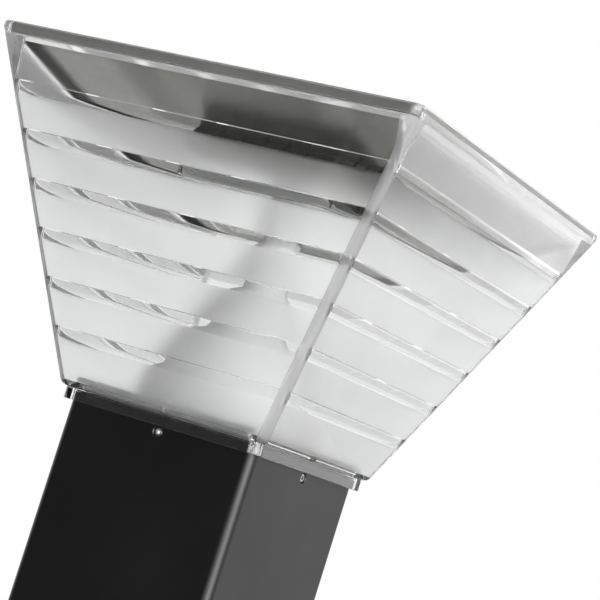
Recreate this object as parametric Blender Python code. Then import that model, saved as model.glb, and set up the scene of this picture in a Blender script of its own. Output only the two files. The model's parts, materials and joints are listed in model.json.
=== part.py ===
"""Square bollard light: black post, clear tapered shell with a stepped inside, stainless lid.

Millimetres below are turned into metres by MM. +Z is up, the base plate underside is z = 0,
and the four faces of the post look along +X, -X, +Y and -Y.
"""
import math

import bmesh
import bpy

MM = 0.001
GAP = 0.3                      # clearance between neighbouring pieces
SHARP_ANGLE = math.radians(32.0)
ARC_STEPS = 6                  # segments in a rounded corner
ROUND_STEPS = 24               # segments around a turned piece
SMALL_STEPS = 12               # the same for small hidden screws

# Post and base plate
BASE_HALF = 90.0
BASE_THICK = 8.0
BASE_CORNER = 10.0
ANCHOR_PITCH = 70.0
ANCHOR_HOLE = 6.5
CABLE_HOLE = 20.0
POST_HALF = 50.0
POST_WALL = 4.0
POST_CORNER = 4.5
POST_TOP = 751.4
EARTH_POS = (32.0, 32.0)
EARTH_STUD_RADIUS = 3.0
EARTH_STUD_HEIGHT = 20.0
EARTH_FLANGE_RADIUS = 5.0
EARTH_FLANGE_THICK = 2.0
EARTH_NUT_HALF = 4.8
EARTH_NUT_HEIGHT = 5.0
SET_SCREW_Z = 744.5
SET_SCREW_RADIUS = 2.0
SET_SCREW_HOLE = 2.2
SET_SCREW_SINK = 0.4

# Clear shell: the outside face runs straight from (SHELL_LOW_HALF, SHELL_LOW_Z) up to the rim
SHELL_LOW_Z = 752.4
SHELL_LOW_HALF = 55.3
SHELL_TAPER = 0.3675
SHELL_WALL = 2.2               # between the leaning outside and the leaning bands inside
SHELL_CORNER = 5.0
SHELL_INNER_CORNER = 2.4
SHELL_FLOOR = 3.0
SHELL_FILLET = 3.5
SKIRT_HALF = 52.8
SKIRT_LOW_Z = 747.0
SKIRT_WALL = 2.5
FLOOR_OPENING = 46.1
RIM_HALF = 108.5
RIM_WALL = 2.7
RIM_TOP_Z = 900.0
RIM_INNER_CORNER = 3.8
LEDGE_Z = 894.6                # the lid's gasket lies on this ledge

# Steps inside the shell: each band leans like the outside, then an upright facet thickens the wall
STEP_TOP_Z = 876.65            # ledge above the highest facet
STEP_PITCH = 19.88
STEP_COUNT = 6
STEP_HEIGHT = 4.98             # height of each upright facet
STEP_FILLET = 12.0             # between a band and the facet above it
STEP_FILLET_STEPS = 6

# Lid group: lid plate, gasket, and the light source hanging under the lid
LID_HALF = 105.4
LID_CORNER = 3.5
LID_LOW_Z = 896.0
LID_SCREW_POS = 30.0
LID_SHEET = 1.5
LID_SCREW_RADIUS = 1.25
LID_SCREW_HEAD = 2.4
GASKET_LOW_Z = 894.9
GASKET_THICK = 0.8
SINK_HALF = 39.4
SINK_LOW_Z = 881.0
SINK_TOP_Z = RIM_TOP_Z - LID_SHEET - GAP
SINK_CORNER = 3.0
SINK_ROUNDING = 4.0            # of the lower edge
SLOT_COUNT = 5
SLOT_PITCH = 12.0
SLOT_DEPTH = 3.5
BOARD_HALF = 36.5
BOARD_LOW_Z = 879.1
BOARD_THICK = 1.6
BOARD_SCREW_POS = 20.0
BOARD_SCREW_RADIUS = 1.2
BOARD_SCREW_HEAD = 2.3
BOARD_SCREW_HOLE = 1.5
LED_PITCH = 18.0               # LEDs run around a square, four to a side
LED_SIDE_COUNT = 4
SOCKET_RADIUS = 3.0
SOCKET_HEIGHT = 2.7
COVER_HALF = 41.4
COVER_WALL = 1.6
COVER_LOW_Z = 869.5
COVER_TOP_Z = 884.0
COVER_CORNER = 4.0
COVER_ROUNDING = 3.0           # of the lower edge
COVER_HOLE = 7.5

# Trumpet reflector on the axis of the head
TRUMPET_LOW_Z = 758.6
TRUMPET_TOP_Z = 869.1
TRUMPET_NECK = 9.0
TRUMPET_NECK_SLOPE = 0.05
TRUMPET_FLARE = 27.0           # extra radius gained down the flare
TRUMPET_FLARE_TOP_Z = 846.0
TRUMPET_FLARE_LOW_Z = 762.0
TRUMPET_SHEET = 1.2
TRUMPET_STEPS = 18
TRUMPET_SIDES = 36

# Head casting
FLANGE_HALF = 50.2
FLANGE_LOW_Z = 755.8
FLANGE_TOP_Z = 758.3
SPIGOT_HALF = 45.7
SPIGOT_LOW_Z = 690.0
SPIGOT_INNER = 42.7
WEB_LOW_Z = 753.0
FLANGE_SCREW_POS = 47.9
FLANGE_SCREW_RADIUS = 1.0
FLANGE_SCREW_HEAD = 1.9
FLANGE_SCREW_HOLE = 1.3

# Gear inside the post
TRAY_HALF_WIDTH = 34.0
TRAY_SHEET = 2.0
TRAY_FACE_Y = 24.0
TRAY_DEPTH = 16.0
TRAY_LOW_Z = 530.0
TRAY_SCREW_X = 22.0
TRAY_SCREW_RADIUS = 1.5
TRAY_SCREW_HEAD = 3.0
TRAY_SCREW_HOLE = 1.8
DRIVER_HALF_WIDTH = 24.0
DRIVER_DEPTH = 28.0
DRIVER_LOW_Z = 585.0
DRIVER_TOP_Z = 725.0
TERMINAL_LOW_Z = 545.0
TERMINAL_TOP_Z = 567.0
TERMINAL_HALF_WIDTH = 15.0
TERMINAL_HALF_DEPTH = 8.0
TERMINAL_PITCH = 9.0
TERMINAL_MOUTH = 2.5
LEAD_RADIUS = 2.2
SUPPLY_RADIUS = 4.5
SUPPLY_BEND_LOW_Z = 120.0
SUPPLY_BEND_HIGH_Z = 480.0


for old in list(bpy.data.objects):
    bpy.data.objects.remove(old, do_unlink=True)


def material(name, colour, metallic=0.0, roughness=0.5, transmission=0.0, ior=1.5):
    mat = bpy.data.materials.new(name)
    mat.use_nodes = True
    shader = mat.node_tree.nodes["Principled BSDF"]
    shader.inputs["Base Color"].default_value = (*colour, 1.0)
    shader.inputs["Metallic"].default_value = metallic
    shader.inputs["Roughness"].default_value = roughness
    shader.inputs["Transmission Weight"].default_value = transmission
    shader.inputs["IOR"].default_value = ior
    mat.diffuse_color = (*colour, 1.0)
    return mat


def corner_ring(half_x, half_y, radius, z, centre=(0.0, 0.0), steps=ARC_STEPS):
    """Rounded rectangle at height z, counter-clockwise from the +X side."""
    points = []
    for quarter, (sx, sy) in enumerate(((1, 1), (-1, 1), (-1, -1), (1, -1))):
        for step in range(steps + 1):
            angle = math.radians(90.0 * (quarter + step / steps))
            x = centre[0] + sx * (half_x - radius) + radius * math.cos(angle)
            y = centre[1] + sy * (half_y - radius) + radius * math.sin(angle)
            points.append((x, y, z))
    return points


def round_ring(radius, z, centre=(0.0, 0.0), sides=0, steps=ROUND_STEPS):
    """Circle at height z, or a polygon whose flats are radius from the centre."""
    points = []
    for step in range(steps):
        angle = 2.0 * math.pi * step / steps
        reach = radius
        if sides:
            sector = 2.0 * math.pi / sides
            reach = radius / math.cos((angle + 0.5 * sector) % sector - 0.5 * sector)
        points.append((centre[0] + reach * math.cos(angle), centre[1] + reach * math.sin(angle), z))
    return points


def mesh_object(name, shells, mat, origin=(0.0, 0.0, 0.0), turn=None):
    """One object from lofted shells; each shell is (rings, joined_round)."""
    bm = bmesh.new()
    for rings, joined_round in shells:
        rows = []
        for ring in rings:
            row = []
            for point in ring:
                if turn:
                    point = turn(point)
                row.append(bm.verts.new([(point[i] - origin[i]) * MM for i in range(3)]))
            rows.append(row)
        pairs = list(zip(rows, rows[1:]))
        if joined_round:
            pairs.append((rows[-1], rows[0]))
        for low, high in pairs:
            for i in range(len(low)):
                j = (i + 1) % len(low)
                bm.faces.new((low[i], low[j], high[j], high[i]))
        if not joined_round:
            bm.faces.new(list(reversed(rows[0])))
            bm.faces.new(rows[-1])
    bmesh.ops.recalc_face_normals(bm, faces=bm.faces[:])
    mesh = bpy.data.meshes.new(name)
    bm.to_mesh(mesh)
    bm.free()
    for face in mesh.polygons:
        face.use_smooth = True
    mesh.set_sharp_from_angle(angle=SHARP_ANGLE)
    obj = bpy.data.objects.new(name, mesh)
    bpy.context.collection.objects.link(obj)
    obj.location = [value * MM for value in origin]
    if mat:
        mesh.materials.append(mat)
    return obj


def cut(obj, cutter):
    """Take the cutter out of obj with a live Boolean."""
    cutter.hide_render = True
    cutter.display_type = "WIRE"
    cutter.data.materials.append(obj.data.materials[0])
    boolean = obj.modifiers.new("cut", "BOOLEAN")
    boolean.operation = "DIFFERENCE"
    boolean.solver = "EXACT"
    boolean.object = cutter


def block_rings(half_x, half_y, low, high, corner, edge, centre=(0.0, 0.0), steps=ARC_STEPS):
    """Rings of a box with rounded upright corners and chamfered ends."""
    inner = max(corner - edge, 0.05)
    return [
        corner_ring(half_x - edge, half_y - edge, inner, low, centre, steps),
        corner_ring(half_x, half_y, corner, low + edge, centre, steps),
        corner_ring(half_x, half_y, corner, high - edge, centre, steps),
        corner_ring(half_x - edge, half_y - edge, inner, high, centre, steps),
    ]


def rounded_low_rings(half, low, corner, radius, steps=4):
    """Lower rings of a block whose bottom edge is rounded all the way round."""
    rings = []
    for step in range(steps + 1):
        angle = math.radians(90.0 * step / steps)
        inset = radius * (1.0 - math.sin(angle))
        z = low + radius * (1.0 - math.cos(angle))
        rings.append(corner_ring(half - inset, half - inset, max(corner - inset, 0.4), z))
    return rings


def frame_rings(section, centre=(0.0, 0.0)):
    """Rings of a square frame whose cross-section is a closed list of (half, z, corner)."""
    return [corner_ring(half, half, corner, z, centre) for half, z, corner in section]


def holes(name, positions, radius, low, high, steps=ROUND_STEPS):
    """Upright round cutters at each position."""
    shells = []
    for centre in positions:
        rings = [round_ring(radius, z, centre, 0, steps) for z in (low, high)]
        shells.append((rings, False))
    return mesh_object(name, shells, None)


def corners_of(distance):
    return [(distance, distance), (-distance, distance), (-distance, -distance), (distance, -distance)]


def mid_sides_of(distance):
    return [(distance, 0.0), (0.0, distance), (-distance, 0.0), (0.0, -distance)]


def quarter_turn(quarter):
    """Turn about Z by a number of right angles."""
    cosine = (1, 0, -1, 0)[quarter]
    sine = (0, 1, 0, -1)[quarter]

    def turn(point):
        return (cosine * point[0] - sine * point[1], sine * point[0] + cosine * point[1], point[2])

    return turn


def shell_half(z):
    """Half width of the clear shell's outside face at height z."""
    return SHELL_LOW_HALF + SHELL_TAPER * (z - SHELL_LOW_Z)


def pipe_rings(path, radius, steps):
    """Rings of a round cable along a path that never runs straight back on itself."""
    rings = []
    side = (1.0, 0.0, 0.0)
    for index, point in enumerate(path):
        before = path[max(index - 1, 0)]
        after = path[min(index + 1, len(path) - 1)]
        along = [after[i] - before[i] for i in range(3)]
        length = math.sqrt(sum(value * value for value in along))
        along = [value / length for value in along]
        dot = sum(side[i] * along[i] for i in range(3))
        side = [side[i] - dot * along[i] for i in range(3)]
        length = math.sqrt(sum(value * value for value in side))
        side = [value / length for value in side]
        other = [
            along[1] * side[2] - along[2] * side[1],
            along[2] * side[0] - along[0] * side[2],
            along[0] * side[1] - along[1] * side[0],
        ]
        ring = []
        for step in range(steps):
            angle = 2.0 * math.pi * step / steps
            across = radius * math.cos(angle)
            up = radius * math.sin(angle)
            ring.append(tuple(point[i] + across * side[i] + up * other[i] for i in range(3)))
        rings.append(ring)
    return rings


def eased_path(start, end, bend_low, bend_high, count):
    """Upright run that eases sideways from start to end between two heights."""
    path = [start]
    for step in range(count + 1):
        share = step / count
        ease = share * share * (3.0 - 2.0 * share)
        path.append((
            start[0] + (end[0] - start[0]) * ease,
            start[1] + (end[1] - start[1]) * ease,
            bend_low + (bend_high - bend_low) * share,
        ))
    path.append(end)
    return path


black_coat = material("black satin powder coat", (0.018, 0.018, 0.019), 0.0, 0.42)
clear_plastic = material("clear polycarbonate", (0.93, 0.95, 0.96), 0.0, 0.04, 1.0, 1.58)
black_anodised = material("black anodised aluminium", (0.02, 0.02, 0.022), 0.6, 0.5)
stainless = material("brushed stainless steel", (0.56, 0.55, 0.52), 1.0, 0.34)
white_enamel = material("satin white enamel", (0.86, 0.86, 0.87), 0.0, 0.40)
cast_aluminium = material("cast aluminium", (0.58, 0.59, 0.60), 1.0, 0.55)
rubber = material("black rubber", (0.03, 0.03, 0.03), 0.0, 0.8)
silicone = material("pale silicone", (0.72, 0.72, 0.74), 0.0, 0.6)
zinc_steel = material("zinc plated steel", (0.62, 0.62, 0.60), 1.0, 0.35)
board_white = material("white board lacquer", (0.82, 0.83, 0.82), 0.0, 0.45)
led_phosphor = material("yellow phosphor", (0.90, 0.72, 0.22), 0.0, 0.35)
driver_plastic = material("white driver case", (0.80, 0.80, 0.78), 0.0, 0.5)
terminal_grey = material("grey terminal plastic", (0.35, 0.36, 0.37), 0.0, 0.5)
cable_black = material("black cable sheath", (0.02, 0.02, 0.02), 0.0, 0.6)
lead_white = material("white silicone lead", (0.78, 0.78, 0.76), 0.0, 0.6)
brass = material("brass", (0.72, 0.52, 0.22), 1.0, 0.3)


# Base plate with four anchor holes and a cable hole
base_plate = mesh_object(
    "base_plate", [(block_rings(BASE_HALF, BASE_HALF, 0.0, BASE_THICK, BASE_CORNER, 0.8), False)],
    black_coat)
cut(base_plate, holes("anchor_hole_cutter", corners_of(ANCHOR_PITCH), ANCHOR_HOLE, -5.0, BASE_THICK + 5.0))
cut(base_plate, holes("cable_hole_cutter", [(0.0, 0.0)], CABLE_HOLE, -5.0, BASE_THICK + 5.0))

# Earth stud and nut on the base plate, inside the post
earth_low = BASE_THICK + GAP
mesh_object("earth_stud", [([
    round_ring(EARTH_FLANGE_RADIUS, earth_low, EARTH_POS),
    round_ring(EARTH_FLANGE_RADIUS, earth_low + EARTH_FLANGE_THICK, EARTH_POS),
    round_ring(EARTH_STUD_RADIUS, earth_low + EARTH_FLANGE_THICK, EARTH_POS),
    round_ring(EARTH_STUD_RADIUS, earth_low + EARTH_STUD_HEIGHT - 0.5, EARTH_POS),
    round_ring(EARTH_STUD_RADIUS - 0.5, earth_low + EARTH_STUD_HEIGHT, EARTH_POS),
], False)], brass)
nut_low = earth_low + EARTH_FLANGE_THICK + GAP
nut_high = nut_low + EARTH_NUT_HEIGHT
mesh_object("earth_nut", [([
    round_ring(EARTH_NUT_HALF, nut_low, EARTH_POS, 6),
    round_ring(EARTH_NUT_HALF, nut_high, EARTH_POS, 6),
    round_ring(EARTH_STUD_RADIUS + GAP, nut_high, EARTH_POS),
    round_ring(EARTH_STUD_RADIUS + GAP, nut_low, EARTH_POS),
], True)], brass)

# Post tube with a set-screw hole near the top of each face
post_low = BASE_THICK + GAP
post_inner = POST_HALF - POST_WALL
post_tube = mesh_object("post_tube", [(frame_rings([
    (POST_HALF, post_low, POST_CORNER),
    (POST_HALF, POST_TOP - 0.4, POST_CORNER),
    (POST_HALF - 0.4, POST_TOP, POST_CORNER - 0.4),
    (post_inner, POST_TOP, 1.5),
    (post_inner, post_low, 1.5),
]), True)], black_coat)


def sideways(quarter):
    """Carry a ring built along +Z out to a face of the post, pointing away from it."""
    turn = quarter_turn(quarter)

    def carry(point):
        return turn((point[2], point[0], point[1] + SET_SCREW_Z))

    return carry


screw_hole_shells = []
for face_number in range(4):
    carry = sideways(face_number)
    rings = [
        round_ring(SET_SCREW_HOLE, post_inner - 2.0),
        round_ring(SET_SCREW_HOLE, POST_HALF - SET_SCREW_SINK),
        round_ring(SET_SCREW_HOLE + 2.0, POST_HALF + 2.0 - SET_SCREW_SINK),
    ]
    screw_hole_shells.append(([[carry(point) for point in ring] for ring in rings], False))
cut(post_tube, mesh_object("set_screw_hole_cutter", screw_hole_shells, None))

for face_number in range(4):
    carry = sideways(face_number)
    tip = post_inner
    head = POST_HALF - SET_SCREW_SINK - 0.2
    mesh_object("set_screw_%d" % (face_number + 1), [([
        round_ring(SET_SCREW_RADIUS - 0.5, tip),
        round_ring(SET_SCREW_RADIUS, tip + 0.5),
        round_ring(SET_SCREW_RADIUS, head - 0.3),
        round_ring(SET_SCREW_RADIUS - 0.3, head),
        round_ring(1.0, head, (0.0, 0.0), 6),
        round_ring(1.0, head - 1.8, (0.0, 0.0), 6),
    ], False)], zinc_steel, carry((0.0, 0.0, head)), carry)

# Gasket between post top and shell floor
mesh_object("post_gasket", [(frame_rings([
    (POST_HALF - 0.2, POST_TOP + 0.25, POST_CORNER),
    (POST_HALF - 0.2, SHELL_LOW_Z - 0.25, POST_CORNER),
    (post_inner + 1.2, SHELL_LOW_Z - 0.25, 1.5),
    (post_inner + 1.2, POST_TOP + 0.25, 1.5),
]), True)], rubber)

# Clear shell: skirt, rounded bottom edge, tapered wall, rim around the lid
floor_top = SHELL_LOW_Z + SHELL_FLOOR
rim_kink_z = SHELL_LOW_Z + (RIM_HALF - SHELL_LOW_HALF) / SHELL_TAPER
lean = math.atan(SHELL_TAPER)
fillet_half = SHELL_LOW_HALF + SHELL_FILLET * (SHELL_TAPER - 1.0 / math.cos(lean))
outside = [
    (SKIRT_HALF, SKIRT_LOW_Z + 0.3, 3.0),
    (SKIRT_HALF, SHELL_LOW_Z, 3.0),
]
for step in range(ARC_STEPS + 1):
    angle = -0.5 * math.pi + (0.5 * math.pi - lean) * step / ARC_STEPS
    half = fillet_half + SHELL_FILLET * math.cos(angle)
    z = SHELL_LOW_Z + SHELL_FILLET * (1.0 + math.sin(angle))
    outside.append((max(half, SKIRT_HALF + 0.3), z, SHELL_CORNER))
inner_top = shell_half(STEP_TOP_Z) - SHELL_WALL
inner_steps = [(inner_top, LEDGE_Z, SHELL_INNER_CORNER), (inner_top, STEP_TOP_Z, SHELL_INNER_CORNER)]
for step in range(STEP_COUNT):
    facet_top = STEP_TOP_Z - STEP_PITCH * step
    facet_low = facet_top - STEP_HEIGHT
    facet = shell_half(facet_low) - SHELL_WALL
    inner_steps.append((facet, facet_top, SHELL_INNER_CORNER))
    tangent = STEP_FILLET * math.tan(0.5 * lean)
    for fillet_step in range(STEP_FILLET_STEPS + 1):
        angle = lean * fillet_step / STEP_FILLET_STEPS
        z = facet_low + tangent - STEP_FILLET * math.sin(angle)
        half = facet - STEP_FILLET * (1.0 - math.cos(angle))
        inner_steps.append((half, z, SHELL_INNER_CORNER))
    ledge_z = facet_top - STEP_PITCH
    if step + 1 < STEP_COUNT:
        inner_steps.append((shell_half(ledge_z) - SHELL_WALL, ledge_z, SHELL_INNER_CORNER))
inner_steps.append((shell_half(floor_top) - SHELL_WALL, floor_top, SHELL_INNER_CORNER))
rim = [
    (RIM_HALF, rim_kink_z, SHELL_CORNER),
    (RIM_HALF, RIM_TOP_Z - 0.6, SHELL_CORNER),
    (RIM_HALF - 0.6, RIM_TOP_Z, SHELL_CORNER - 0.6),
    (RIM_HALF - RIM_WALL, RIM_TOP_Z, RIM_INNER_CORNER),
    (RIM_HALF - RIM_WALL, LEDGE_Z, RIM_INNER_CORNER),
]
floor_and_skirt = [
    (FLOOR_OPENING, floor_top, 2.5),
    (FLOOR_OPENING, SHELL_LOW_Z, 2.5),
    (SKIRT_HALF - SKIRT_WALL, SHELL_LOW_Z, POST_CORNER),
    (SKIRT_HALF - SKIRT_WALL, SKIRT_LOW_Z, POST_CORNER),
    (SKIRT_HALF - 0.3, SKIRT_LOW_Z, 3.0),
]
shell_section = outside + rim + inner_steps + floor_and_skirt
clear_shell = mesh_object("clear_shell", [(frame_rings(shell_section), True)], clear_plastic)
cut(clear_shell, holes(
    "flange_screw_pilot_cutter", mid_sides_of(FLANGE_SCREW_POS), FLANGE_SCREW_HOLE,
    SHELL_LOW_Z + 0.6, floor_top + 2.0, SMALL_STEPS))

# Lid: a shallow steel tray turned upside down, with countersunk screws that hold the heat sink
lid_inner = LID_HALF - LID_SHEET
lid_under = RIM_TOP_Z - LID_SHEET
lid_plate = mesh_object(
    "lid_plate", [(block_rings(LID_HALF, LID_HALF, LID_LOW_Z, RIM_TOP_Z, LID_CORNER, 0.4), False)],
    stainless, (0.0, 0.0, LID_LOW_Z))
cut(lid_plate, mesh_object("lid_hollow_cutter", [([
    corner_ring(lid_inner, lid_inner, LID_CORNER - LID_SHEET, LID_LOW_Z - 2.0),
    corner_ring(lid_inner, lid_inner, LID_CORNER - LID_SHEET, lid_under),
], False)], None))
countersinks = []
head_low = RIM_TOP_Z - 0.1 - (LID_SCREW_HEAD - LID_SCREW_RADIUS)
for centre in corners_of(LID_SCREW_POS):
    countersinks.append(([
        round_ring(LID_SCREW_RADIUS + 0.2, lid_under - 1.0, centre),
        round_ring(LID_SCREW_RADIUS + 0.2, head_low, centre),
        round_ring(LID_SCREW_HEAD + 0.2, head_low + LID_SCREW_HEAD - LID_SCREW_RADIUS, centre),
        round_ring(LID_SCREW_HEAD + 0.2, RIM_TOP_Z + 1.0, centre),
    ], False))
cut(lid_plate, mesh_object("lid_countersink_cutter", countersinks, None))
screw_tip = SINK_TOP_Z - 6.0
for number, centre in enumerate(corners_of(LID_SCREW_POS)):
    top = RIM_TOP_Z - 0.1
    mesh_object("lid_screw_%d" % (number + 1), [([
        round_ring(LID_SCREW_RADIUS - 0.4, screw_tip, centre),
        round_ring(LID_SCREW_RADIUS, screw_tip + 0.5, centre),
        round_ring(LID_SCREW_RADIUS, head_low + 0.2, centre),
        round_ring(LID_SCREW_HEAD, top - 0.1, centre),
        round_ring(LID_SCREW_HEAD, top, centre),
        round_ring(0.8, top, centre, 6),
        round_ring(0.8, top - 1.0, centre, 6),
    ], False)], stainless, (centre[0], centre[1], top))
mesh_object("lid_gasket", [(frame_rings([
    (LID_HALF - 0.2, GASKET_LOW_Z, LID_CORNER - 0.2),
    (LID_HALF - 0.2, GASKET_LOW_Z + GASKET_THICK, LID_CORNER - 0.2),
    (inner_top + 0.8, GASKET_LOW_Z + GASKET_THICK, SHELL_INNER_CORNER + 0.8),
    (inner_top + 0.8, GASKET_LOW_Z, SHELL_INNER_CORNER + 0.8),
]), True)], silicone)

# Heat sink: black block with a rounded lower edge and upright slots in its four sides
sink_rings = rounded_low_rings(SINK_HALF, SINK_LOW_Z, SINK_CORNER, SINK_ROUNDING)
sink_rings.append(corner_ring(SINK_HALF, SINK_HALF, SINK_CORNER, SINK_TOP_Z))
heat_sink = mesh_object("heat_sink", [(sink_rings, False)], black_anodised)
slot_shells = []
for face_number in range(4):
    turn = quarter_turn(face_number)
    for number in range(SLOT_COUNT):
        x = (number - 0.5 * (SLOT_COUNT - 1)) * SLOT_PITCH
        slot_shells.append(([
            [turn(point) for point in corner_ring(1.5, SLOT_DEPTH, 0.0, z, (x, -SINK_HALF), 1)]
            for z in (SINK_LOW_Z + 3.0, SINK_TOP_Z + 1.0)
        ], False))
cut(heat_sink, mesh_object("sink_slot_cutter", slot_shells, None))
cut(heat_sink, holes(
    "sink_top_hole_cutter", corners_of(LID_SCREW_POS), LID_SCREW_RADIUS + 0.3, screw_tip - 1.0,
    SINK_TOP_Z + 1.0, SMALL_STEPS))
board_top = BOARD_LOW_Z + BOARD_THICK
cut(heat_sink, holes(
    "sink_low_hole_cutter", corners_of(BOARD_SCREW_POS), BOARD_SCREW_HOLE,
    SINK_LOW_Z - 1.0, SINK_LOW_Z + 4.0, SMALL_STEPS))

# Board with a ring of LEDs looking down, its screws and the lead's socket
led_board = mesh_object(
    "led_board", [(block_rings(BOARD_HALF, BOARD_HALF, BOARD_LOW_Z, board_top, 2.0, 0.15), False)],
    board_white)
cut(led_board, holes(
    "board_hole_cutter", corners_of(BOARD_SCREW_POS), BOARD_SCREW_HOLE,
    BOARD_LOW_Z - 1.0, board_top + 1.0, SMALL_STEPS))
for number, centre in enumerate(corners_of(BOARD_SCREW_POS)):
    seat = BOARD_LOW_Z - 0.15
    mesh_object("board_screw_%d" % (number + 1), [([
        round_ring(BOARD_SCREW_HEAD - 0.5, seat - 1.2, centre, 0, SMALL_STEPS),
        round_ring(BOARD_SCREW_HEAD, seat - 0.8, centre, 0, SMALL_STEPS),
        round_ring(BOARD_SCREW_HEAD, seat, centre, 0, SMALL_STEPS),
        round_ring(BOARD_SCREW_RADIUS, seat, centre, 0, SMALL_STEPS),
        round_ring(BOARD_SCREW_RADIUS, SINK_LOW_Z + 3.5, centre, 0, SMALL_STEPS),
    ], False)], zinc_steel)
led_reach = 0.5 * LED_PITCH * (LED_SIDE_COUNT - 1)
led_spots = []
for face_number in range(4):
    turn = quarter_turn(face_number)
    for step in range(LED_SIDE_COUNT - 1):
        led_spots.append(turn((led_reach, LED_PITCH * step - led_reach, 0.0))[:2])
for number, centre in enumerate(led_spots):
    seat = BOARD_LOW_Z - 0.15
    mesh_object("led_%d" % (number + 1), [([
        corner_ring(1.0, 1.0, 1.0, seat - 1.7, centre, 3),
        corner_ring(1.8, 1.8, 1.8, seat - 1.3, centre, 3),
        corner_ring(2.1, 2.1, 2.1, seat - 0.7, centre, 3),
        corner_ring(2.6, 2.6, 0.4, seat - 0.7, centre, 3),
        corner_ring(2.6, 2.6, 0.4, seat, centre, 3),
    ], False)], led_phosphor)
socket_low = BOARD_LOW_Z - GAP - SOCKET_HEIGHT
mesh_object("lead_socket", [([
    round_ring(SOCKET_RADIUS, socket_low, (0.0, 0.0), 0, SMALL_STEPS),
    round_ring(SOCKET_RADIUS, socket_low + SOCKET_HEIGHT, (0.0, 0.0), 0, SMALL_STEPS),
], False)], lead_white)

# Clear tray around the LEDs, pushed up over the heat sink, with a hole above the trumpet's neck
cover_rings = rounded_low_rings(COVER_HALF, COVER_LOW_Z, COVER_CORNER, COVER_ROUNDING)
cover_rings.append(corner_ring(COVER_HALF, COVER_HALF, COVER_CORNER, COVER_TOP_Z))
led_cover = mesh_object("led_cover", [(cover_rings, False)], clear_plastic)
hollow_rings = rounded_low_rings(
    COVER_HALF - COVER_WALL, COVER_LOW_Z + COVER_WALL, COVER_CORNER - COVER_WALL,
    COVER_ROUNDING - COVER_WALL)
hollow_rings.append([(x, y, COVER_TOP_Z + 2.0) for x, y, z in hollow_rings[-1]])
cut(led_cover, mesh_object("cover_hollow_cutter", [(hollow_rings, False)], None))
cut(led_cover, holes("cover_hole_cutter", [(0.0, 0.0)], COVER_HOLE, COVER_LOW_Z - 2.0, COVER_LOW_Z + 4.0))

# Trumpet reflector: a spun sheet that flares from a narrow neck to the floor of the head


def trumpet_radius(z):
    share = (TRUMPET_FLARE_TOP_Z - z) / (TRUMPET_FLARE_TOP_Z - TRUMPET_FLARE_LOW_Z)
    share = min(max(share, 0.0), 1.0)
    neck = TRUMPET_NECK + TRUMPET_NECK_SLOPE * (TRUMPET_TOP_Z - z)
    return neck + TRUMPET_FLARE * share * share * (3.0 - 2.0 * share)


trumpet_outer = []
trumpet_inner = []
for step in range(TRUMPET_STEPS + 1):
    z = TRUMPET_LOW_Z + (TRUMPET_TOP_Z - TRUMPET_LOW_Z) * step / TRUMPET_STEPS
    slope = (trumpet_radius(z - 0.1) - trumpet_radius(z)) / 0.1
    trumpet_outer.append((trumpet_radius(z), z))
    across = TRUMPET_SHEET * math.sqrt(1.0 + slope * slope)
    trumpet_inner.append((trumpet_radius(z) - across, z))
trumpet_rings = []
for radius, z in trumpet_outer + trumpet_inner[::-1]:
    trumpet_rings.append(round_ring(radius, z, (0.0, 0.0), 0, TRUMPET_SIDES))
mesh_object("trumpet_reflector", [(trumpet_rings, True)], white_enamel, (0.0, 0.0, TRUMPET_LOW_Z))

# Head casting: flange on the shell floor, spigot inside the post, web that closes the post
head_casting = mesh_object("head_casting", [([
    corner_ring(SPIGOT_HALF - 1.5, SPIGOT_HALF - 1.5, 2.0, SPIGOT_LOW_Z),
    corner_ring(SPIGOT_HALF, SPIGOT_HALF, 3.0, SPIGOT_LOW_Z + 3.0),
    corner_ring(SPIGOT_HALF, SPIGOT_HALF, 3.0, FLANGE_LOW_Z),
    corner_ring(FLANGE_HALF, FLANGE_HALF, 4.0, FLANGE_LOW_Z),
    corner_ring(FLANGE_HALF, FLANGE_HALF, 4.0, FLANGE_TOP_Z - 0.4),
    corner_ring(FLANGE_HALF - 0.4, FLANGE_HALF - 0.4, 3.6, FLANGE_TOP_Z),
], False)], cast_aluminium, (0.0, 0.0, FLANGE_TOP_Z))
cut(head_casting, mesh_object("spigot_hollow_cutter", [([
    corner_ring(SPIGOT_INNER, SPIGOT_INNER, 2.0, SPIGOT_LOW_Z - 2.0),
    corner_ring(SPIGOT_INNER, SPIGOT_INNER, 2.0, WEB_LOW_Z),
], False)], None))
cut(head_casting, holes(
    "flange_hole_cutter", mid_sides_of(FLANGE_SCREW_POS), FLANGE_SCREW_HOLE,
    FLANGE_LOW_Z - 1.0, FLANGE_TOP_Z + 1.0, SMALL_STEPS))
cut(head_casting, holes(
    "lead_hole_cutter", [(0.0, 0.0)], LEAD_RADIUS + 0.8, WEB_LOW_Z - 1.0, FLANGE_TOP_Z + 1.0))
tray_screw_y = TRAY_FACE_Y - 0.6 * TRAY_DEPTH
web_screw_spots = [(-TRAY_SCREW_X, tray_screw_y), (TRAY_SCREW_X, tray_screw_y)]
cut(head_casting, holes(
    "web_hole_cutter", web_screw_spots, TRAY_SCREW_HOLE, WEB_LOW_Z - 1.0, WEB_LOW_Z + 3.5, SMALL_STEPS))
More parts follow.
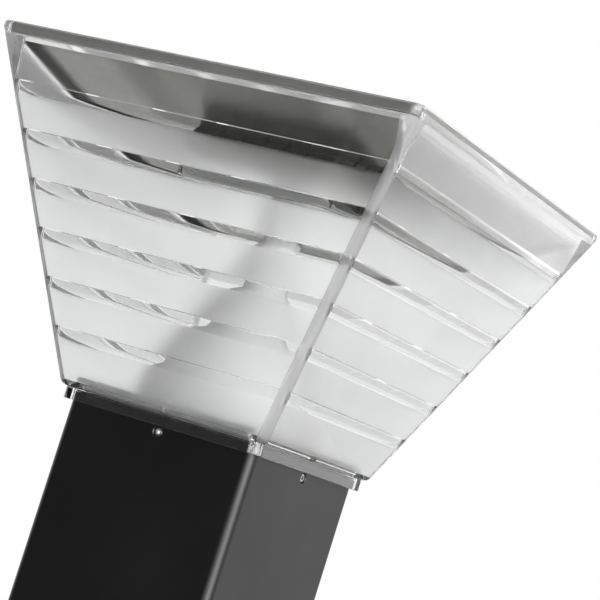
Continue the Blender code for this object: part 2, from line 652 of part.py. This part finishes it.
for number, centre in enumerate(mid_sides_of(FLANGE_SCREW_POS)):
    seat = FLANGE_TOP_Z + 0.15
    mesh_object("flange_screw_%d" % (number + 1), [([
        round_ring(FLANGE_SCREW_RADIUS - 0.3, SHELL_LOW_Z + 1.2, centre, 0, SMALL_STEPS),
        round_ring(FLANGE_SCREW_RADIUS, SHELL_LOW_Z + 1.7, centre, 0, SMALL_STEPS),
        round_ring(FLANGE_SCREW_RADIUS, seat, centre, 0, SMALL_STEPS),
        round_ring(FLANGE_SCREW_HEAD, seat, centre, 0, SMALL_STEPS),
        round_ring(FLANGE_SCREW_HEAD, seat + 0.9, centre, 0, SMALL_STEPS),
        round_ring(FLANGE_SCREW_HEAD - 0.4, seat + 1.3, centre, 0, SMALL_STEPS),
    ], False)], zinc_steel, (centre[0], centre[1], seat))

# Gear tray hanging from the web, with driver and terminal block
tray_top = WEB_LOW_Z - GAP
tray_low_y = TRAY_FACE_Y - TRAY_DEPTH
tray_outline = [
    (tray_low_y, tray_top - TRAY_SHEET),
    (TRAY_FACE_Y - TRAY_SHEET, tray_top - TRAY_SHEET),
    (TRAY_FACE_Y - TRAY_SHEET, TRAY_LOW_Z),
    (TRAY_FACE_Y, TRAY_LOW_Z),
    (TRAY_FACE_Y, tray_top),
    (tray_low_y, tray_top),
]
gear_tray = mesh_object("gear_tray", [([
    [(-TRAY_HALF_WIDTH, y, z) for y, z in tray_outline],
    [(TRAY_HALF_WIDTH, y, z) for y, z in tray_outline],
], False)], zinc_steel)
cut(gear_tray, holes(
    "tray_hole_cutter", web_screw_spots, TRAY_SCREW_HOLE, tray_top - 5.0, tray_top + 5.0, SMALL_STEPS))
for number, centre in enumerate(web_screw_spots):
    seat = tray_top - TRAY_SHEET - 0.15
    mesh_object("tray_screw_%d" % (number + 1), [([
        round_ring(TRAY_SCREW_HEAD - 0.6, seat - 1.8, centre, 0, SMALL_STEPS),
        round_ring(TRAY_SCREW_HEAD, seat - 1.2, centre, 0, SMALL_STEPS),
        round_ring(TRAY_SCREW_HEAD, seat, centre, 0, SMALL_STEPS),
        round_ring(TRAY_SCREW_RADIUS, seat, centre, 0, SMALL_STEPS),
        round_ring(TRAY_SCREW_RADIUS, WEB_LOW_Z + 3.0, centre, 0, SMALL_STEPS),
    ], False)], zinc_steel)
tray_inside_y = TRAY_FACE_Y - TRAY_SHEET - GAP
mesh_object("led_driver", [(block_rings(
    DRIVER_HALF_WIDTH, 0.5 * DRIVER_DEPTH, DRIVER_LOW_Z, DRIVER_TOP_Z, 3.0, 1.5,
    (0.0, tray_inside_y - 0.5 * DRIVER_DEPTH)), False)], driver_plastic)
terminal_y = tray_inside_y - TERMINAL_HALF_DEPTH
terminal_block = mesh_object("terminal_block", [(block_rings(
    TERMINAL_HALF_WIDTH, TERMINAL_HALF_DEPTH, TERMINAL_LOW_Z, TERMINAL_TOP_Z, 1.5, 0.6,
    (0.0, terminal_y)), False)], terminal_grey)
terminal_spots = [(TERMINAL_PITCH * number, terminal_y) for number in (-1, 0, 1)]
cut(terminal_block, holes(
    "terminal_mouth_cutter", terminal_spots, TERMINAL_MOUTH,
    TERMINAL_LOW_Z - 3.0, TERMINAL_LOW_Z + 8.0, SMALL_STEPS))

# White lead from the driver up the neck of the trumpet to the board's socket
lead_start = (0.0, tray_inside_y - 0.5 * DRIVER_DEPTH, DRIVER_TOP_Z + GAP)
lead_turn = (0.0, 0.0, FLANGE_TOP_Z + 2.0)
lead_path = eased_path(lead_start, lead_turn, DRIVER_TOP_Z + 4.0, WEB_LOW_Z - 4.0, 8)
lead_path.append((0.0, 0.0, socket_low - GAP))
mesh_object("head_lead", [(pipe_rings(lead_path, LEAD_RADIUS, SMALL_STEPS), False)], lead_white)

# Supply cable from the ground up to the terminal block
supply_end = (0.0, terminal_y, TERMINAL_LOW_Z - 7.0)
supply_path = eased_path((0.0, 0.0, 1.0), supply_end, SUPPLY_BEND_LOW_Z, SUPPLY_BEND_HIGH_Z, 12)
mesh_object("supply_cable", [(pipe_rings(supply_path, SUPPLY_RADIUS, SMALL_STEPS), False)], cable_black)
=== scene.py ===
"""Looks for the square bollard light: camera, studio, and a procedural finish for every piece."""
import json
import math

import bpy
from mathutils import Matrix, Vector


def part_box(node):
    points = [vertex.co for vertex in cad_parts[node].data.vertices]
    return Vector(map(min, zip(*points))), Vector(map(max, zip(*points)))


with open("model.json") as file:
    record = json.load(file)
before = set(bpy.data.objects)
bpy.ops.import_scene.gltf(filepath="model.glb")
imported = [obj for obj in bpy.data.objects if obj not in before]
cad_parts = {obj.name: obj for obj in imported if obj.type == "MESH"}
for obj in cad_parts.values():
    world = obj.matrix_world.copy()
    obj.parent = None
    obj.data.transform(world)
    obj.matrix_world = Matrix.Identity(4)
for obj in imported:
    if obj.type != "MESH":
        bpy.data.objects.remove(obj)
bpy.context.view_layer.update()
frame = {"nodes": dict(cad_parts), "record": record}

nodes = frame["nodes"]
scene = bpy.context.scene

MM = 0.001
lid_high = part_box("lid_plate")[1]

# ---------------------------------------------------------------- the clear shell's optics

RIM_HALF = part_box("clear_shell")[1].x
SHELL_TAPER = 0.3675           # the outside's half width grows by this much per height
STEP_TOP_Z = lid_high.z - 23.3 * MM
LEDGE_Z = lid_high.z - 5.5 * MM
RIM_KINK_Z = lid_high.z - 2.8 * MM
LEAN_LOW = 0.228               # upward share of the normal on the leaning bands inside
LEAN_HIGH = 0.6
PLASTIC_IOR = 1.555
PLASTIC_TONE = 0.985
SATIN = (0.30, 0.36)           # roughness of the leaning bands
TOP_SATIN = (0.13, 0.18)       # roughness of the upright band at the top
CORNER_DEPTH = 4.3 * MM        # haze starts this far inside the outer corner
CORNER_SOFTNESS = 0.8 * MM
CORNER_INSET_AT_ZERO = RIM_HALF - CORNER_DEPTH - SHELL_TAPER * RIM_KINK_Z
TOP_INNER_HALF = RIM_HALF - 9.7 * MM
RIM_INNER_HALF = RIM_HALF - 2.7 * MM
CORNER_HAZE = 0.48
INNER_HAZE = 0.35              # on the outside of the top band, for light held in the wall
HAZE_TONE = 0.93
HAZE_RETURNED = 0.4            # share of the haze that sends light back

SHEARED_TONE = 0.2             # of a sheet's cut side edges
SHEARED_ROUGHNESS = 0.45
SHEARED_METALLIC = 0.3


# ---------------------------------------------------------------- node helpers

class Graph:
    """A small helper for building the node graph of a material or of the world."""

    def __init__(self, owner, output_kind="ShaderNodeOutputMaterial"):
        owner.use_nodes = True
        self.owner = owner
        self.tree = owner.node_tree
        self.tree.nodes.clear()
        self.output = self.add(output_kind)

    def add(self, kind, inputs=None, **settings):
        node = self.tree.nodes.new(kind)
        for key, value in settings.items():
            setattr(node, key, value)
        for key, value in (inputs or {}).items():
            self.feed(node.inputs[key], value)
        return node

    def feed(self, socket, value):
        if isinstance(value, bpy.types.NodeSocket):
            self.tree.links.new(value, socket)
        else:
            socket.default_value = value

    def math(self, operation, a, b=0.0, c=0.0):
        node = self.add("ShaderNodeMath", operation=operation)
        for socket, value in zip(node.inputs, (a, b, c)):
            self.feed(socket, value)
        return node.outputs[0]

    def place(self):
        """Object-space position: the row frame, in metres, because no piece is moved."""
        return self.add("ShaderNodeTexCoord").outputs["Object"]

    def axes(self, vector):
        return self.add("ShaderNodeSeparateXYZ", {"Vector": vector}).outputs

    def dot(self, a, b):
        node = self.add("ShaderNodeVectorMath", {0: a, 1: b}, operation="DOT_PRODUCT")
        return node.outputs["Value"]

    def stretch(self, vector, scale):
        return self.add("ShaderNodeMapping", {"Vector": vector, "Scale": scale}).outputs[0]

    def noise(self, vector, scale, detail=3.0, roughness=0.5):
        node = self.add("ShaderNodeTexNoise", {
            "Vector": vector, "Scale": scale, "Detail": detail, "Roughness": roughness})
        return node.outputs["Fac"]

    def ramp(self, value, low, high, out_low=0.0, out_high=1.0):
        node = self.add("ShaderNodeMapRange", {
            "Value": value, "From Min": low, "From Max": high, "To Min": out_low, "To Max": out_high})
        node.interpolation_type = "SMOOTHSTEP"
        return node.outputs["Result"]

    def spread(self, noise, out_low=0.0, out_high=1.0):
        """A noise's busy middle, stretched over a range."""
        return self.ramp(noise, 0.3, 0.7, out_low, out_high)

    def mix(self, factor, a, b):
        """Colour a where factor is 0, b where it is 1."""
        node = self.add("ShaderNodeMix", data_type="RGBA")
        for key, value in ((0, factor), (6, a), (7, b)):
            self.feed(node.inputs[key], value)
        return node.outputs[2]

    def between(self, factor, a, b):
        """Number a where factor is 0, b where it is 1."""
        node = self.add("ShaderNodeMix", data_type="FLOAT")
        for key, value in ((0, factor), (2, a), (3, b)):
            self.feed(node.inputs[key], value)
        return node.outputs[0]

    def blend_shader(self, factor, a, b):
        return self.add("ShaderNodeMixShader", {0: factor, 1: a, 2: b}).outputs[0]

    def bump(self, height, distance, strength):
        return self.add("ShaderNodeBump", {
            "Height": height, "Distance": distance, "Strength": strength}).outputs[0]

    def edges(self, radius):
        """1 on sharp edges, 0 on flats, from the difference between bevelled and true normals."""
        round_normal = self.add("ShaderNodeBevel", {"Radius": radius}, samples=4).outputs[0]
        flat_normal = self.add("ShaderNodeNewGeometry").outputs["Normal"]
        return self.ramp(self.dot(round_normal, flat_normal), 0.998, 0.90)

    def principled(self, **inputs):
        names = {key.replace("_", " "): value for key, value in inputs.items()}
        return self.add("ShaderNodeBsdfPrincipled", names).outputs[0]

    def finish(self, shader):
        self.tree.links.new(shader, self.output.inputs["Surface"])
        return self.owner


def grey(value, tint=(1.0, 1.0, 1.0)):
    return (value * tint[0], value * tint[1], value * tint[2], 1.0)


def toned(colour, factor):
    return tuple(min(1.0, factor * channel) for channel in colour[:3]) + (1.0,)


# ---------------------------------------------------------------- finishes

def powder_coat():
    """Black satin powder coat: fine orange peel, slight cloudiness, edges rubbed a little brighter."""
    g = Graph(bpy.data.materials.new("black_powder_coat"))
    place = g.place()
    peel = g.noise(place, 1400.0, 2.0)
    cloud = g.noise(place, 18.0, 4.0)
    edge = g.edges(1.2 * MM)
    colour = g.mix(g.spread(cloud), grey(0.003), grey(0.005))
    colour = g.mix(g.math("MULTIPLY", edge, 0.5), colour, grey(0.05))
    rough = g.math("ADD", g.ramp(cloud, 0.25, 0.75, 0.33, 0.41), g.math("MULTIPLY", peel, 0.06))
    return g.finish(g.principled(
        Base_Color=colour, Roughness=rough, IOR=1.5, Normal=g.bump(peel, 0.05 * MM, 0.35)))


def handled_plastic(g, place):
    """Roughness and height of bare clear plastic: handling scratches and a faint flow ripple."""
    ripple = g.noise(place, 60.0, 2.0)
    scratch = g.noise(g.stretch(place, (30.0, 30.0, 900.0)), 1.0, 6.0, 0.7)
    return g.ramp(scratch, 0.60, 0.80, 0.012, 0.07), g.math("MULTIPLY", ripple, 0.02)


def clear_shader(g, rough, height):
    return g.principled(
        Base_Color=grey(PLASTIC_TONE, (0.995, 1.0, 1.0)), Roughness=rough, IOR=PLASTIC_IOR,
        Transmission_Weight=1.0, Normal=g.bump(height, MM, 0.25))


def clear_polycarbonate():
    """Clear moulded polycarbonate, polished all over."""
    g = Graph(bpy.data.materials.new("clear_polycarbonate"))
    return g.finish(clear_shader(g, *handled_plastic(g, g.place())))


def corner_haze(g, position):
    """Share of pale haze in the thick corners of the shell, where light is caught in the plastic."""
    reach = g.math("MINIMUM", g.math("ABSOLUTE", position[0]), g.math("ABSOLUTE", position[1]))
    inner = g.math("MULTIPLY_ADD", position[2], SHELL_TAPER, CORNER_INSET_AT_ZERO)
    inner = g.math("MINIMUM", inner, TOP_INNER_HALF)
    inner = g.between(g.math("GREATER_THAN", position[2], LEDGE_Z), inner, RIM_INNER_HALF)
    return g.ramp(g.math("SUBTRACT", reach, inner), 0.0, CORNER_SOFTNESS, 0.0, CORNER_HAZE)


def stepped_polycarbonate():
    """The shell's clear plastic: satin on the leaning bands inside and on the upright band at the
    top, polished on the facets between them, and hazy in the thick corners."""
    g = Graph(bpy.data.materials.new("stepped_polycarbonate"))
    place = g.place()
    position = g.axes(place)
    rough, height = handled_plastic(g, place)

    # Normals are turned towards the viewer, so from within the plastic the two sides swap.
    geometry = g.add("ShaderNodeNewGeometry").outputs
    facing = g.axes(geometry["True Normal"])
    from_within = geometry["Backfacing"]
    outward = g.math("MULTIPLY_ADD", facing[0], position[0], g.math("MULTIPLY", facing[1], position[1]))
    side = g.math("MULTIPLY_ADD", from_within, -2.0, 1.0)
    inside = g.math("LESS_THAN", g.math("MULTIPLY", outward, side), 0.0)
    tilt = g.math("ABSOLUTE", facing[2])
    leaning = g.math(
        "MULTIPLY", g.math("GREATER_THAN", tilt, LEAN_LOW), g.math("LESS_THAN", tilt, LEAN_HIGH))
    above_steps = g.math("GREATER_THAN", position[2], STEP_TOP_Z)
    top_band = g.math("MULTIPLY", above_steps, g.math("LESS_THAN", position[2], LEDGE_Z))

    satin = g.math("MULTIPLY", inside, g.math("MAXIMUM", leaning, top_band))
    cloud = g.noise(place, 25.0, 3.0)
    grain = g.noise(place, 2600.0, 2.0)
    satin_rough = g.between(top_band, g.spread(cloud, *SATIN), g.spread(cloud, *TOP_SATIN))
    rough = g.between(satin, rough, satin_rough)
    height = g.math("MULTIPLY_ADD", g.math("MULTIPLY", grain, satin), 0.003, height)
    shader = clear_shader(g, rough, height)

    haze_colour = grey(HAZE_TONE, (0.985, 0.98, 1.0))
    passed = g.add("ShaderNodeBsdfTranslucent", {"Color": haze_colour}).outputs[0]
    returned = g.add("ShaderNodeBsdfDiffuse", {"Color": haze_colour}).outputs[0]
    haze = g.blend_shader(HAZE_RETURNED, passed, returned)
    outer_from_within = g.math("MULTIPLY", from_within, g.math("LESS_THAN", outward, 0.0))
    held = g.math("MULTIPLY", g.math("MULTIPLY", outer_from_within, above_steps), INNER_HAZE)
    share = g.math("MAXIMUM", corner_haze(g, position), held)
    return g.finish(g.blend_shader(share, shader, haze))


def brushed_sheet(name, colour, low, high):
    """Brushed sheet metal: long fine scratches along X, cloudy roughness, sheared side edges."""
    g = Graph(bpy.data.materials.new(name))
    place = g.place()
    lines = g.noise(g.stretch(place, (8.0, 900.0, 900.0)), 1.0, 8.0, 0.7)
    cloud = g.noise(place, 22.0, 4.0)
    edge = g.edges(0.8 * MM)
    tone = g.math("ADD", g.spread(lines, 0.88, 1.05), g.spread(cloud, -0.04, 0.04))
    shade = g.mix(tone, grey(0.0), colour)
    shade = g.mix(g.math("MULTIPLY", edge, 0.4), shade, grey(0.85))
    rough = g.math("ADD", g.spread(lines, low, high), g.math("MULTIPLY", cloud, 0.05))
    facing = g.axes(g.add("ShaderNodeNewGeometry").outputs["True Normal"])
    sheared = g.math("LESS_THAN", g.math("ABSOLUTE", facing[2]), 0.5)
    return g.finish(g.principled(
        Base_Color=g.mix(sheared, shade, grey(SHEARED_TONE, (1.0, 0.99, 0.93))),
        Metallic=g.between(sheared, 1.0, SHEARED_METALLIC),
        Roughness=g.between(sheared, rough, SHEARED_ROUGHNESS),
        Normal=g.bump(lines, 0.03 * MM, 0.3)))


def cast(name, colour, rough_low, rough_high, grain_scale, metallic):
    """Blasted or moulded surface: even fine grain with cloudy roughness."""
    g = Graph(bpy.data.materials.new(name))
    place = g.place()
    grain = g.noise(place, grain_scale, 4.0)
    cloud = g.noise(place, 30.0, 3.0)
    edge = g.edges(0.6 * MM)
    shade = g.mix(g.spread(cloud), colour, toned(colour, 0.9))
    shade = g.mix(g.math("MULTIPLY", edge, 0.25), shade, toned(colour, 1.3))
    return g.finish(g.principled(
        Base_Color=shade, Metallic=metallic, Roughness=g.spread(grain, rough_low, rough_high),
        Normal=g.bump(grain, 0.06 * MM, 0.4)))


FINISHES = {
    "black_coat": powder_coat(),
    "clear_plastic": clear_polycarbonate(),
    "stainless": brushed_sheet("brushed_stainless", grey(0.31, (1.0, 0.985, 0.93)), 0.12, 0.20),
    "white_enamel": cast("white_enamel", grey(0.93), 0.35, 0.45, 900.0, 0.0),
    "black_anodised": cast("black_anodised", grey(0.02), 0.35, 0.5, 1100.0, 0.3),
    "cast_aluminium": cast("cast_aluminium", grey(0.72), 0.5, 0.62, 700.0, 0.6),
    "zinc_steel": cast("zinc_steel", grey(0.6, (1.0, 0.99, 0.96)), 0.25, 0.4, 1500.0, 1.0),
    "rubber": cast("black_rubber", grey(0.02), 0.7, 0.85, 900.0, 0.0),
    "silicone": cast("pale_silicone", grey(0.72, (0.98, 0.98, 1.0)), 0.5, 0.65, 900.0, 0.0),
    "board_white": cast("board_lacquer", grey(0.93), 0.35, 0.5, 1200.0, 0.0),
    "led_phosphor": cast("led_phosphor", (0.92, 0.8, 0.5, 1.0), 0.25, 0.35, 2500.0, 0.0),
    "driver_case": cast("driver_case", grey(0.75), 0.45, 0.55, 1000.0, 0.0),
    "terminal_plastic": cast("terminal_plastic", grey(0.3), 0.4, 0.5, 1000.0, 0.0),
    "cable_sheath": cast("cable_sheath", grey(0.02), 0.5, 0.6, 1200.0, 0.0),
    "lead_sheath": cast("lead_sheath", grey(0.75), 0.5, 0.6, 1200.0, 0.0),
    "brass": cast("brass", (0.75, 0.52, 0.2, 1.0), 0.25, 0.35, 1500.0, 1.0),
}
SHELL_FINISH = stepped_polycarbonate()


# ---------------------------------------------------------------- smooth shading

def smooth_by_angle(angle_degrees):
    """Geometry-nodes group that marks edges sharper than an angle as sharp."""
    group = bpy.data.node_groups.new("smooth_by_angle", "GeometryNodeTree")
    group.interface.new_socket("Geometry", in_out="INPUT", socket_type="NodeSocketGeometry")
    group.interface.new_socket("Geometry", in_out="OUTPUT", socket_type="NodeSocketGeometry")
    source = group.nodes.new("NodeGroupInput")
    result = group.nodes.new("NodeGroupOutput")
    angle = group.nodes.new("GeometryNodeInputMeshEdgeAngle")
    limit = group.nodes.new("FunctionNodeCompare")
    limit.data_type = "FLOAT"
    limit.operation = "LESS_EQUAL"
    limit.inputs[1].default_value = math.radians(angle_degrees)
    smooth = group.nodes.new("GeometryNodeSetShadeSmooth")
    smooth.domain = "EDGE"
    group.links.new(source.outputs[0], smooth.inputs["Geometry"])
    group.links.new(angle.outputs["Unsigned Angle"], limit.inputs[0])
    group.links.new(limit.outputs[0], smooth.inputs["Shade Smooth"])
    group.links.new(smooth.outputs[0], result.inputs[0])
    return group


WELD_DISTANCE = 0.01 * MM
sharpen = smooth_by_angle(32.0)
sharpen_shell = smooth_by_angle(17.0)


def dress(piece, finish, sharpening):
    """One material and smooth shading for a piece, with its sharp edges kept."""
    piece.data.materials.clear()
    piece.data.materials.append(finish)
    if "custom_normal" in piece.data.attributes:
        piece.data.attributes.remove(piece.data.attributes["custom_normal"])
    for face in piece.data.polygons:
        face.use_smooth = True
    weld = piece.modifiers.new("weld", "WELD")
    weld.merge_threshold = WELD_DISTANCE
    edges = piece.modifiers.new("smooth_by_angle", "NODES")
    edges.node_group = sharpening
    weighted = piece.modifiers.new("weighted_normals", "WEIGHTED_NORMAL")
    weighted.keep_sharp = True


for row in frame["record"]["subparts"]:
    if row["node"] == "clear_shell":
        dress(nodes[row["node"]], SHELL_FINISH, sharpen_shell)
    else:
        dress(nodes[row["node"]], FINISHES[row["material_slot"]], sharpen)


# ---------------------------------------------------------------- camera

CAMERA_DISTANCE = 1.0479
CAMERA_HEADING = math.radians(29.36)   # from +Y towards -X
CAMERA_PITCH = math.radians(5.24)      # upwards
CAMERA_ROLL = math.radians(17.53)
CAMERA_LENS_MM = 135.6
CAMERA_TARGET = Vector((15.6 * MM, 8.9 * MM, lid_high.z - 76.9 * MM))


def aim_camera():
    """A rolled, slightly rising look at the head from the front, a little to the right."""
    view = Vector((
        -math.sin(CAMERA_HEADING) * math.cos(CAMERA_PITCH),
        math.cos(CAMERA_HEADING) * math.cos(CAMERA_PITCH),
        math.sin(CAMERA_PITCH)))
    level = view.cross(Vector((0.0, 0.0, 1.0))).normalized()
    above = level.cross(view)
    right = level * math.cos(CAMERA_ROLL) + above * math.sin(CAMERA_ROLL)
    up = above * math.cos(CAMERA_ROLL) - level * math.sin(CAMERA_ROLL)
    data = bpy.data.cameras.new("camera")
    data.lens = CAMERA_LENS_MM
    data.clip_start = 0.01
    camera = bpy.data.objects.new("camera", data)
    scene.collection.objects.link(camera)
    turned = Matrix((right, up, -view)).transposed()
    camera.matrix_world = turned.to_4x4()
    camera.location = CAMERA_TARGET - view * CAMERA_DISTANCE
    scene.camera = camera


aim_camera()


# ---------------------------------------------------------------- floor and studio

FLOOR_HALF = 2.5
FLOOR_SEEN = 0.8
FLOOR_UNSEEN = 0.32            # darker where it only lights or reflects in the object

SHADE_AIM = (-0.45, -0.89, 0.0)
FRONT_LIGHT = 0.15
BACK_LIGHT = 1.15
LOW_LIGHT = 0.2
HIGH_SHARE = 0.78
BACKDROP_LIGHT = 1.0
# Soft panels: towards, degrees across the full light, degrees out to no light, strength.
SOFTBOXES = [
    ((0.87, -0.49, 0.05), 8.0, 30.0, 6.0),
    ((0.62, -0.78, 0.10), 10.0, 40.0, 3.3),
]


def lay_floor():
    """A plain pale square under the base plate."""
    corners = [(x * FLOOR_HALF, y * FLOOR_HALF, 0.0) for x, y in ((-1, -1), (1, -1), (1, 1), (-1, 1))]
    mesh = bpy.data.meshes.new("floor")
    mesh.from_pydata(corners, [], [(0, 1, 2, 3)])
    g = Graph(bpy.data.materials.new("pale_floor"))
    seen = g.add("ShaderNodeLightPath").outputs["Is Camera Ray"]
    colour = g.mix(seen, grey(FLOOR_UNSEEN, (1.0, 1.0, 0.94)), grey(FLOOR_SEEN))
    mesh.materials.append(g.finish(g.principled(Base_Color=colour, Roughness=0.8)))
    floor = bpy.data.objects.new("floor", mesh)
    scene.collection.objects.link(floor)


def softbox(g, direction, towards, inner_degrees, outer_degrees, strength):
    """A round soft panel seen in one direction."""
    closeness = g.dot(direction, tuple(Vector(towards).normalized()))
    inner = math.cos(math.radians(inner_degrees))
    outer = math.cos(math.radians(outer_degrees))
    return g.ramp(closeness, outer, inner, 0.0, strength)


def light_studio():
    """A white surround, shaded towards the front left and from low down, with two soft panels."""
    world = bpy.data.worlds.new("studio")
    scene.world = world
    g = Graph(world, "ShaderNodeOutputWorld")
    direction = g.add("ShaderNodeTexCoord").outputs["Generated"]
    height = g.axes(direction)[2]
    light = g.ramp(g.dot(direction, SHADE_AIM), 0.20, 0.75, BACK_LIGHT, FRONT_LIGHT)
    light = g.math("MULTIPLY", light, g.ramp(height, 0.12, 0.34, 1.0, HIGH_SHARE))
    light = g.between(g.ramp(height, -0.20, -0.28), light, LOW_LIGHT)

    # The panels light the object and show in reflections, but aren't seen straight through the
    # clear shell, which would burn out to white from the far side.
    path = g.add("ShaderNodeLightPath").outputs
    bounced = g.math("ADD", path["Diffuse Depth"], path["Glossy Depth"])
    panels_seen = g.math("SUBTRACT", 1.0, g.math("LESS_THAN", bounced, 0.5))
    for panel in SOFTBOXES:
        light = g.math("MULTIPLY_ADD", softbox(g, direction, *panel), panels_seen, light)
    strength = g.between(path["Is Camera Ray"], light, BACKDROP_LIGHT)
    backdrop = g.add("ShaderNodeBackground", {"Color": grey(1.0), "Strength": strength})
    g.finish(backdrop.outputs[0])


lay_floor()
light_studio()

scene.view_settings.view_transform = "Standard"
scene.cycles.max_bounces = 24
scene.cycles.transmission_bounces = 24
scene.cycles.glossy_bounces = 8
scene.cycles.transparent_max_bounces = 16
